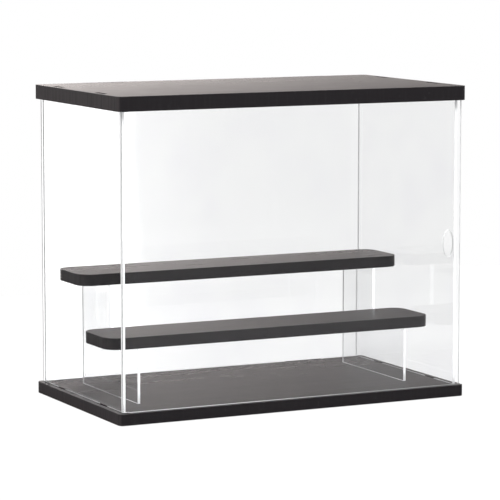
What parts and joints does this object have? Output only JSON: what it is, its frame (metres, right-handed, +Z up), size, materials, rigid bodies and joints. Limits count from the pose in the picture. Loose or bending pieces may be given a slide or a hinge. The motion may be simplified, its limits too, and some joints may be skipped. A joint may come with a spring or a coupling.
{
  "type": "display case",
  "caption": "Countertop display case with black boards above and below, clear panels slotted between them, a clear door that slides out sideways and a stepped shelf riser inside.",
  "frame": {"origin": "middle of the base's underside", "axes": "+X to the right along the long side, the way the door slides open; +Y to the back; +Z up"},
  "size_m": [0.395, 0.22, 0.327],
  "materials": {
    "black_board": "satin black",
    "clear_sheet": "clear polished"
  },
  "bodies": {
    "case": {"base_plate": "black_board", "left_panel": "clear_sheet", "right_panel": "clear_sheet", "back_panel": "clear_sheet"},
    "lid": {"top_plate": "black_board"},
    "door": {"sliding_door": "clear_sheet"},
    "riser": {"left_riser_support": "clear_sheet", "right_riser_support": "clear_sheet", "lower_shelf": "black_board", "upper_shelf": "black_board"}
  },
  "joints": [
    {"name": "door_slide", "type": "slide", "parent": "case", "child": "door", "axis": [1, 0, 0], "range_m": [0, 0.36]},
    {"name": "lid_lift", "type": "slide", "parent": "case", "child": "lid", "axis": [0, 0, 1], "range_m": [0, 0.15]},
    {"name": "riser_lift", "type": "slide", "parent": "case", "child": "riser", "axis": [0, 0, 1], "range_m": [0, 0.15]}
  ]
}
